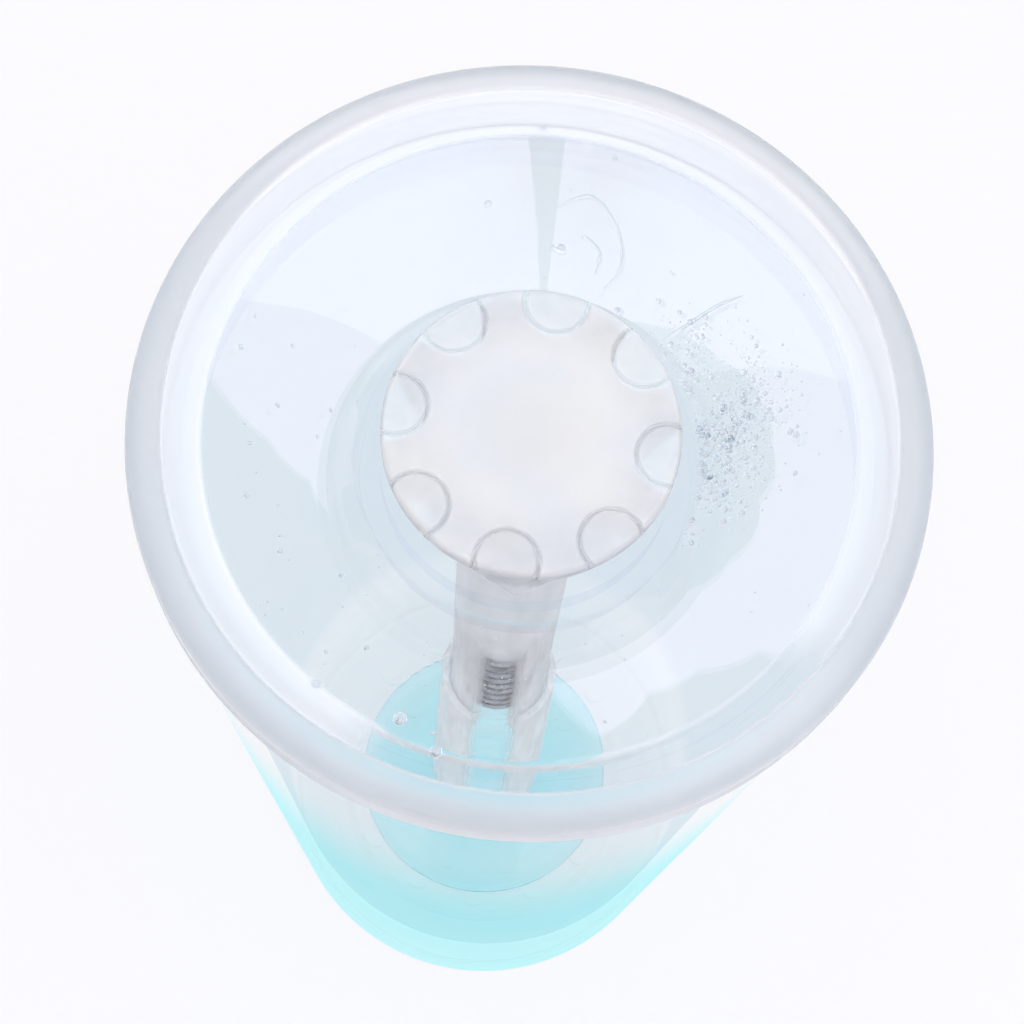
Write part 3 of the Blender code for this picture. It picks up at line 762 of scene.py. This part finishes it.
def base_object(name, points=(), edges=()):
    """An object of bare points and edges, or of nothing, for a tree to work on."""
    mesh = bpy.data.meshes.new(name)
    mesh.from_pydata(points, edges, [])
    return placed(name, mesh)


def new_tree(name, inputs):
    """An empty Geometry Nodes tree with a geometry socket each way and the named inputs."""
    tree = bpy.data.node_groups.new(name, "GeometryNodeTree")
    tree.interface.new_socket("Geometry", in_out="INPUT", socket_type="NodeSocketGeometry")
    tree.interface.new_socket("Geometry", in_out="OUTPUT", socket_type="NodeSocketGeometry")
    kinds = {"Material": "NodeSocketMaterial", "Seed": "NodeSocketInt", "Cluster": "NodeSocketVector"}
    for label in inputs:
        kind = "NodeSocketInt" if label.endswith("Count") else kinds.get(label, "NodeSocketFloat")
        tree.interface.new_socket(label, in_out="INPUT", socket_type=kind)
    graph = Graph(tree)
    return graph, graph.add("NodeGroupInput")


def end_tree(graph, shape, material):
    """Realizes what a tree has made, gives it its finish and returns the tree."""
    real = graph.add("GeometryNodeRealizeInstances", None, {"Geometry": shape})
    smooth = graph.add("GeometryNodeSetShadeSmooth", None, {"Geometry": real})
    done = graph.add("GeometryNodeSetMaterial", None, {"Geometry": smooth, "Material": material})
    graph.add("NodeGroupOutput", None, {"Geometry": done})
    return graph.tree


def grown(name, base, tree, values):
    """The plain mesh that a tree makes of a base object. The base is removed."""
    modifier = base.modifiers.new(tree.name, "NODES")
    modifier.node_group = tree
    for item in tree.interface.items_tree:
        if item.in_out == "INPUT" and item.name in values:
            modifier[item.identifier] = values[item.name]
    bpy.context.view_layer.update()
    seen = base.evaluated_get(bpy.context.evaluated_depsgraph_get())
    mesh = bpy.data.meshes.new_from_object(seen)
    bpy.data.objects.remove(base)
    mesh.name = name
    return placed(name, mesh)


def flute_tree():
    """Cuts upright round flutes into the side of a turned grip by drawing its points inwards."""
    graph, given = new_tree(
        "knob_flutes", ["Flute Count", "Flute Radius", "Circle Radius", "Phase", "Edge Round", "Material"]
    )
    place = graph.add("GeometryNodeInputPosition")
    split = graph.add("ShaderNodeSeparateXYZ", None, {"Vector": place})
    x, y = split, split.out("Y")
    radius = graph.math("SQRT", x * x + y * y)
    angle = graph.math("ARCTAN2", y, x) - given.out("Phase")
    half_step = math.pi / given.out("Flute Count")
    local = graph.math("WRAP", angle, half_step, 0 - half_step)
    across = given.out("Circle Radius") * graph.math("SINE", local)
    depth = graph.math("SQRT", graph.math("MAXIMUM", given.out("Flute Radius") ** 2 - across * across, 0.0))
    near_side = given.out("Circle Radius") * graph.math("COSINE", local) - depth
    beside = graph.math("ABSOLUTE", across) > given.out("Flute Radius")
    limit = near_side + beside * FLUTE_FAR
    reach = graph.math("SMOOTH_MIN", radius, limit, given.out("Edge Round"))
    share = reach / graph.math("MAXIMUM", radius, ON_AXIS)
    moved = graph.add("ShaderNodeCombineXYZ", None, {"X": x * share, "Y": y * share, "Z": split.out("Z")})
    shaped = graph.add("GeometryNodeSetPosition", None, {"Geometry": given, "Position": moved})
    return end_tree(graph, shaped, given.out("Material"))


def drain_tree():
    """Cuts two rows of round drain holes through a dished tray."""
    graph, given = new_tree("tray_drains", [
        "Drain Radius", "Inner Circle", "Inner Count", "Outer Circle", "Outer Count", "Height", "Material",
    ])
    drill = graph.add("GeometryNodeMeshCylinder", None, {
        "Vertices": DRAIN_SIDES, "Radius": given.out("Drain Radius"), "Depth": given.out("Height"),
    })
    drills = []
    for row in ("Inner", "Outer"):
        circle = graph.add("GeometryNodeMeshCircle", None, {
            "Vertices": given.out(f"{row} Count"), "Radius": given.out(f"{row} Circle"),
        })
        half_step = (math.pi if row == "Outer" else 0.0) / given.out(f"{row} Count")
        spin = graph.add("ShaderNodeCombineXYZ", None, {"Z": half_step})
        lift = graph.add("ShaderNodeCombineXYZ", None, {"Z": given.out("Height") / 2})
        set_row = graph.add("GeometryNodeTransform", None, {
            "Geometry": circle, "Translation": lift, "Rotation": spin,
        })
        drills.append(graph.add("GeometryNodeInstanceOnPoints", None, {"Points": set_row, "Instance": drill}))
    tools = graph.add("GeometryNodeRealizeInstances", None, {
        "Geometry": graph.add("GeometryNodeJoinGeometry", None, {"Geometry": drills}),
    })
    cut = graph.add(
        "GeometryNodeMeshBoolean", {"operation": "DIFFERENCE", "solver": "EXACT"},
        {"Mesh 1": given, "Mesh 2": tools},
    )
    return end_tree(graph, cut, given.out("Material"))


def coil_tree():
    """One wire wound into open turns between two short flat ends."""
    graph, given = new_tree("grip_coil", [
        "Point Count", "Points per Turn", "Turns", "Flat Turns",
        "Pitch", "Wire", "Radius", "Seat", "Material",
    ])
    line = graph.add("GeometryNodeMeshLine", None, {"Count": given.out("Point Count")})
    turn = graph.add("GeometryNodeInputIndex") / given.out("Points per Turn")
    flat = given.out("Flat Turns")
    rising = graph.math("MINIMUM", graph.math("MAXIMUM", turn - flat, 0.0), given.out("Turns") - 2 * flat)
    angle = turn * (2 * math.pi)
    place = graph.add("ShaderNodeCombineXYZ", None, {
        "X": given.out("Radius") * graph.math("COSINE", angle),
        "Y": given.out("Radius") * graph.math("SINE", angle),
        "Z": given.out("Seat") + given.out("Wire") / 2 + given.out("Pitch") * rising,
    })
    wound = graph.add("GeometryNodeSetPosition", None, {"Geometry": line, "Position": place})
    path = graph.add("GeometryNodeMeshToCurve", None, {"Mesh": wound})
    wire = graph.add("GeometryNodeCurvePrimitiveCircle", None, {
        "Resolution": COIL_WIRE_SIDES, "Radius": given.out("Wire") / 2,
    })
    tube = graph.add("GeometryNodeCurveToMesh", None, {
        "Curve": path, "Profile Curve": wire, "Fill Caps": True,
    })
    return end_tree(graph, tube, given.out("Material"))


def drop_tree():
    """Scatters flattened droplets over a surface, thick round one place and thin elsewhere."""
    graph, given = new_tree(
        "lid_droplets", ["Density", "Drop Size", "Cluster", "Cluster Radius", "Seed", "Material"]
    )
    place = graph.add("GeometryNodeInputPosition")
    away = graph.add("ShaderNodeVectorMath", {"operation": "DISTANCE"}, {0: place, 1: given.out("Cluster")})
    patchy = graph.ramp(graph.noise(place, DROP_PATCH_SCALE, detail=3.0), *DROP_PATCH_EDGE)
    close = graph.fall(away / given.out("Cluster Radius"), *DROP_CLUSTER_FADE)
    thick = DROP_STRAYS + close * (DROP_BETWEEN + (1 - DROP_BETWEEN) * patchy)
    points = graph.add(
        "GeometryNodeDistributePointsOnFaces", {"distribute_method": "RANDOM"},
        {"Mesh": given, "Density": given.out("Density") * thick, "Seed": given.out("Seed")},
    )
    drop = graph.add("GeometryNodeMeshUVSphere", None, {"Segments": 10, "Rings": 6, "Radius": 1.0})
    size = graph.add("FunctionNodeRandomValue", {"data_type": "FLOAT"}, {
        "Min": 0.0, "Max": 1.0, "Seed": given.out("Seed"),
    })
    width = given.out("Drop Size") * (DROP_SMALLEST + (1 - DROP_SMALLEST) * size ** DROP_SMALLER)
    scale = graph.add("ShaderNodeCombineXYZ", None, {"X": width, "Y": width, "Z": width * DROP_FLATNESS})
    drops = graph.add("GeometryNodeInstanceOnPoints", None, {
        "Points": points, "Instance": drop, "Rotation": points.out("Rotation"), "Scale": scale,
    })
    return end_tree(graph, drops, given.out("Material"))


def bead_tree():
    """Sets one flattened bead of water on each given point, as wide as that point asks."""
    graph, given = new_tree("lid_beads", ["Material"])
    points = graph.add("GeometryNodeMeshToPoints", None, {"Mesh": given})
    width = graph.add("GeometryNodeInputNamedAttribute", {"data_type": "FLOAT"}, {"Name": "width"})
    scale = graph.add("ShaderNodeCombineXYZ", None, {"X": width, "Y": width, "Z": width * BEAD_FLATNESS})
    drop = graph.add("GeometryNodeMeshUVSphere", None, {"Segments": 32, "Rings": 16, "Radius": 1.0})
    beads = graph.add("GeometryNodeInstanceOnPoints", None, {
        "Points": points, "Instance": drop, "Scale": scale,
    })
    return end_tree(graph, beads, given.out("Material"))


def streak_tree():
    """Lays a thread of water along each path: full in the middle and thin at both ends."""
    graph, given = new_tree("wet_streaks", ["Thread Radius", "Material"])
    path = graph.add("GeometryNodeMeshToCurve", None, {"Mesh": given})
    bent = graph.add("GeometryNodeCurveSplineType", {"spline_type": "CATMULL_ROM"}, {"Curve": path})
    fine = graph.add("GeometryNodeResampleCurve", None, {"Curve": bent, "Count": STREAK_POINTS})
    along = graph.add("GeometryNodeSplineParameter")
    swell = STREAK_ENDS + (1 - STREAK_ENDS) * graph.math("SINE", along * math.pi)
    uneven = 0.5 + graph.noise(graph.add("GeometryNodeInputPosition"), STREAK_UNEVEN, detail=1.0)
    ring = graph.add("GeometryNodeCurvePrimitiveCircle", None, {"Resolution": 12, "Radius": 1.0})
    thread = graph.add("GeometryNodeCurveToMesh", None, {
        "Curve": fine, "Profile Curve": ring, "Fill Caps": True,
        "Scale": swell * uneven * given.out("Thread Radius"),
    })
    return end_tree(graph, thread, given.out("Material"))


def hexagon(across_flats, chamfer, low, high):
    """Radius of a six-sided nut by angle, with its corners rounded off towards both faces."""
    corner = across_flats / 2 / math.cos(math.pi / 6)

    def radius_at(radius, angle, height):
        if radius < across_flats / 2 - chamfer * 2:
            return radius
        local = (angle + math.pi / 6) % (math.pi / 3) - math.pi / 6
        flat = across_flats / 2 / math.cos(local)
        inset = min(height - low, high - height)
        bevel = across_flats / 2 + chamfer / 2 + inset * NUT_CHAMFER_SLOPE
        return min(flat, radius + (corner - across_flats / 2), bevel)

    return radius_at


def ride_as(piece, node, body):
    """Puts a piece on its body in place of a CAD node."""
    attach(piece, body)
    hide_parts(node)


def make_turned(node, body, material, steps=SLIM_STEPS, edge_round=EDGE_ROUND):
    """A finer copy of a turned CAD node."""
    run, closed = section_of(node)
    piece = turned(f"{node}_fine", rounded(run, closed, edge_round), closed, steps, material)
    ride_as(piece, node, body)


def make_nut(material):
    """Six-sided nut."""
    run, closed = section_of("sleeve_nut")
    low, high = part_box("sleeve_nut")
    shape = hexagon(high.x - low.x, NUT_CHAMFER, low.z, high.z)
    piece = turned("sleeve_nut_fine", rounded(run, closed), closed, NUT_STEPS, material, shape)
    ride_as(piece, "sleeve_nut", "lid")


def make_knob(material):
    """Fluted grip. Its section is read between two flutes."""
    run, closed = section_of("knob_grip", KNOB_SECTION_DEGREES)
    blank = turned("knob_blank", rounded(run, closed), closed, FLUTE_COUNT * FLUTE_STEPS, material)
    piece = grown("knob_grip_fine", blank, flute_tree(), {
        "Flute Count": FLUTE_COUNT, "Flute Radius": FLUTE_RADIUS, "Circle Radius": FLUTE_CIRCLE_RADIUS,
        "Phase": FLUTE_PHASE, "Edge Round": FLUTE_EDGE_ROUND, "Material": material,
    })
    piece.data.set_sharp_from_angle(angle=KNOB_SHARP)
    ride_as(piece, "knob_grip", "lift")


def make_tray(material):
    """Dished tray with drain holes. Its section is read between two holes."""
    run, closed = section_of("drain_tray", TRAY_SECTION_DEGREES)
    blank = turned("tray_blank", rounded(run, closed), closed, SLIM_STEPS, material)
    piece = grown("drain_tray_fine", blank, drain_tree(), {
        "Drain Radius": DRAIN_RADIUS, "Inner Circle": INNER_DRAIN_CIRCLE, "Inner Count": INNER_DRAINS,
        "Outer Circle": OUTER_DRAIN_CIRCLE, "Outer Count": OUTER_DRAINS,
        "Height": 2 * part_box("drain_tray")[1].z, "Material": material,
    })
    piece.data.set_sharp_from_angle(angle=TRAY_SHARP)
    ride_as(piece, "drain_tray", "lift")


def make_coil(material):
    """Coil that grips the rod."""
    low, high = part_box("grip_coil")
    piece = grown("grip_coil_fine", base_object("coil_base"), coil_tree(), {
        "Point Count": COIL_TURNS * COIL_POINTS_PER_TURN + 1, "Points per Turn": COIL_POINTS_PER_TURN,
        "Turns": COIL_TURNS, "Flat Turns": COIL_FLAT_TURNS, "Pitch": COIL_PITCH, "Wire": COIL_WIRE,
        "Radius": high.x - COIL_WIRE / 2, "Seat": low.z, "Material": material,
    })
    ride_as(piece, "grip_coil", "lid")


def make_liquid(material):
    """Liquid that fills the round bottom up to its level, with a small rise at the glass."""
    run, closed = section_of("jar_body")
    bottom = []
    for radius, height in rounded(run, closed):
        if height > LIQUID_LEVEL + MENISCUS_RISE:
            break
        bottom.append(Vector((radius + LIQUID_OVERLAP if radius > ON_AXIS else 0.0, height - LIQUID_OVERLAP)))
    brim = bottom[-1].x
    surface = []
    for i in range(MENISCUS_STEPS + 1):
        share = i / MENISCUS_STEPS
        surface.append(Vector((brim - MENISCUS_RUN * share, LIQUID_LEVEL + MENISCUS_RISE * (1 - share) ** 2)))
    surface.append(Vector((0.0, LIQUID_LEVEL)))
    piece = turned("teal_liquid", bottom + surface, False, WIDE_STEPS, material)
    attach(piece, "jar")


def make_drops(material):
    """Droplets on the sloping cone of the lid."""
    run, _ = section_of("lid_dish")
    rising = [pair for pair in zip(run, run[1:]) if pair[0].y < pair[1].y]
    low, high = max(rising, key=lambda pair: (pair[1] - pair[0]).length)
    first, last = DROP_GROUND
    shares = [first + (last - first) * row / DROP_ROWS for row in range(DROP_ROWS + 1)]
    blank = turned("drop_ground", [low.lerp(high, share) for share in shares], False, DROP_STEPS, material)
    piece = grown("lid_droplets", blank, drop_tree(), {
        "Density": DROP_DENSITY, "Drop Size": DROP_SIZE, "Cluster": DROP_CLUSTER,
        "Cluster Radius": DROP_CLUSTER_RADIUS, "Seed": DROP_SEED, "Material": material,
    })
    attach(piece, "lid")


def make_beads(material):
    """Single larger beads, and threads of water where a hand has wiped the lid."""
    base = base_object("bead_places", [place for place, _ in BEADS])
    widths = base.data.attributes.new("width", "FLOAT", "POINT")
    widths.data.foreach_set("value", [width for _, width in BEADS])
    beads = grown("lid_beads", base, bead_tree(), {"Material": material})
    points, edges = [], []
    for path in STREAKS:
        edges += [(len(points) + i, len(points) + i + 1) for i in range(len(path) - 1)]
        points += path
    base = base_object("streak_paths", points, edges)
    streaks = grown("wet_streaks", base, streak_tree(), {
        "Thread Radius": STREAK_RADIUS, "Material": material,
    })
    for piece in (beads, streaks):
        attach(piece, "lid")


def make_pieces():
    """Every piece of the jar, each on its body."""
    glass = glass_finish()
    lid = lid_finish()
    knob = knob_finish()
    acrylic = acrylic_finish("rod_acrylic", ROD_HAZE, ROD_SOLID).material
    wet = clear_finish("wet_acrylic", WET_TINTS, WET_IOR, WET_HAZE, ACRYLIC_WIPES, WET_SOLID).material
    silicone = silicone_finish()
    nylon = nylon_finish()
    water = water_finish()
    make_turned("jar_body", "jar", glass, WIDE_STEPS)
    make_turned("lid_dish", "lid", lid, WIDE_STEPS)
    make_turned("lid_gasket", "lid", silicone, WIDE_STEPS)
    make_turned("flange_seal", "lid", silicone)
    make_turned("wiper_ring", "lid", silicone)
    make_turned("nut_washer", "lid", nylon)
    make_turned("top_bush", "lid", nylon)
    make_turned("coil_retainer", "lid", nylon)
    tube = tube_finish()
    make_turned("guide_sleeve", "lid", tube)
    make_turned("lift_tube", "lift", tube)
    make_turned("end_bush", "lid", acrylic)
    make_turned("lift_rod", "lift", acrylic)
    make_turned("knob_cap", "lift", cap_finish(), WIDE_STEPS)
    for node in ("knob_washer", "knob_screw", "tray_washer", "tray_screw"):
        make_turned(node, "lift", wet, SLIM_STEPS // 2, EDGE_ROUND / 2)
    make_nut(nylon)
    make_knob(knob)
    make_tray(wet)
    make_coil(wire_finish())
    make_liquid(liquid_finish())
    make_drops(water)
    make_beads(water)


def make_floor():
    """Pale floor: most of its light is its own, so it stays near white and keeps a soft shadow."""
    finish = Finish("pale_floor", Base_Color=PALE_FLOOR, Roughness=0.9, Specular_IOR_Level=0.1)
    graph = finish.graph
    path = graph.add("ShaderNodeLightPath")
    through = graph.math("MAXIMUM", path.out("Is Glossy Ray"), path.out("Is Transmission Ray"))
    glow = graph.add("ShaderNodeEmission", None, {"Color": PALE_FLOOR, "Strength": 1.0})
    finish.mix(graph.math("MAXIMUM", path.out("Is Camera Ray"), through) * FLOOR_GLOW, glow)
    shape = bmesh.new()
    bmesh.ops.create_circle(shape, cap_ends=True, segments=FLOOR_SIDES, radius=FLOOR_RADIUS)
    bmesh.ops.translate(shape, vec=(0.0, 0.0, -FLOOR_DROP), verts=shape.verts)
    floor = mesh_piece("pale_floor", shape, finish.material)


def make_world():
    """White to the eye and through glass, and a grey-blue room with a paler ceiling to gloss."""
    world = bpy.data.worlds.new("studio")
    world.use_nodes = True
    tree = world.node_tree
    graph = Graph(tree)
    path = graph.add("ShaderNodeLightPath")
    toward = graph.add("ShaderNodeTexCoord").out("Generated")
    up = graph.add("ShaderNodeSeparateXYZ", None, {"Vector": toward}).out("Z")
    room = graph.add("ShaderNodeValToRGB", {"stops": ROOM_STOPS}, {"Fac": up})
    seen = graph.math("MAXIMUM", path.out("Is Camera Ray"), path.out("Is Transmission Ray"))
    shown = graph.blend(seen, room, PALE_FLOOR)
    soft = graph.blend(path.out("Is Diffuse Ray"), shown, ROOM_SOFT_LIGHT)
    tree.links.new(soft.socket, tree.nodes["Background"].inputs["Color"])
    bpy.context.scene.world = world


def make_overhead():
    """A flat soft light that faces down."""
    lamp = bpy.data.lights.new("overhead", "AREA")
    lamp.shape = "RECTANGLE"
    lamp.size, lamp.size_y = OVERHEAD_SIZE
    lamp.energy = OVERHEAD_RADIANCE * math.pi * lamp.size * lamp.size_y
    lamp.color = OVERHEAD_TINT
    light = placed("overhead", lamp)
    light.location = OVERHEAD_PLACE
    light.visible_camera = False
    light.visible_glossy = False


def band_point(azimuth, elevation):
    """A place on the soft band's sphere, by angles in degrees."""
    around, up = math.radians(azimuth), math.radians(elevation)
    return BAND_CENTRE + BAND_RADIUS * Vector((
        math.cos(up) * math.cos(around), math.cos(up) * math.sin(around), math.sin(up),
    ))


def make_soft_band():
    """Two bent panels with a narrow slit between them. Only gloss and glass see them, in the lid's dish."""
    finish = Finish("soft_band")
    graph = finish.graph
    tint = graph.blend(graph.noise(finish.place, 1.5, detail=1.0), *BAND_TINTS)
    finish.show(graph.add("ShaderNodeEmission", None, {"Color": tint, "Strength": BAND_RADIANCE}))
    shape = bmesh.new()
    for panel in (BAND_LEFT, BAND_RIGHT):
        rows = [[shape.verts.new(band_point(around, edge)) for edge in edges] for around, *edges in panel]
        for (low, high), (next_low, next_high) in zip(rows, rows[1:]):
            shape.faces.new([low, next_low, next_high, high])
    band = mesh_piece("soft_band", shape, finish.material)
    band.visible_camera = False
    band.visible_diffuse = False
    band.visible_shadow = False


def make_camera():
    """Camera at the photograph's viewing angle."""
    back = (CAMERA_PLACE - CAMERA_AIM).normalized()
    right = Vector((0.0, 1.0, 0.0)).cross(back).normalized()
    up = back.cross(right)
    turn = Matrix.Rotation(CAMERA_ROLL, 3, back)
    right, up = turn @ right, turn @ up
    lens = bpy.data.cameras.new("camera")
    lens.lens = CAMERA_LENS
    lens.clip_start = CAMERA_NEAR
    camera = placed("camera", lens)
    camera.matrix_world = Matrix.Translation(CAMERA_PLACE) @ Matrix((right, up, back)).transposed().to_4x4()
    bpy.context.scene.camera = camera


def make_studio():
    """Floor, light and camera, with enough bounces for the many clear walls."""
    make_floor()
    make_world()
    make_soft_band()
    make_overhead()
    make_camera()
    scene = bpy.context.scene
    scene.view_settings.view_transform = "Standard"
    scene.cycles.max_bounces = LIGHT_BOUNCES
    scene.cycles.transmission_bounces = LIGHT_BOUNCES
    scene.cycles.glossy_bounces = LIGHT_BOUNCES
    scene.cycles.diffuse_bounces = DIFFUSE_BOUNCES
    scene.cycles.transparent_max_bounces = THIN_BOUNCES


make_pieces()
make_studio()
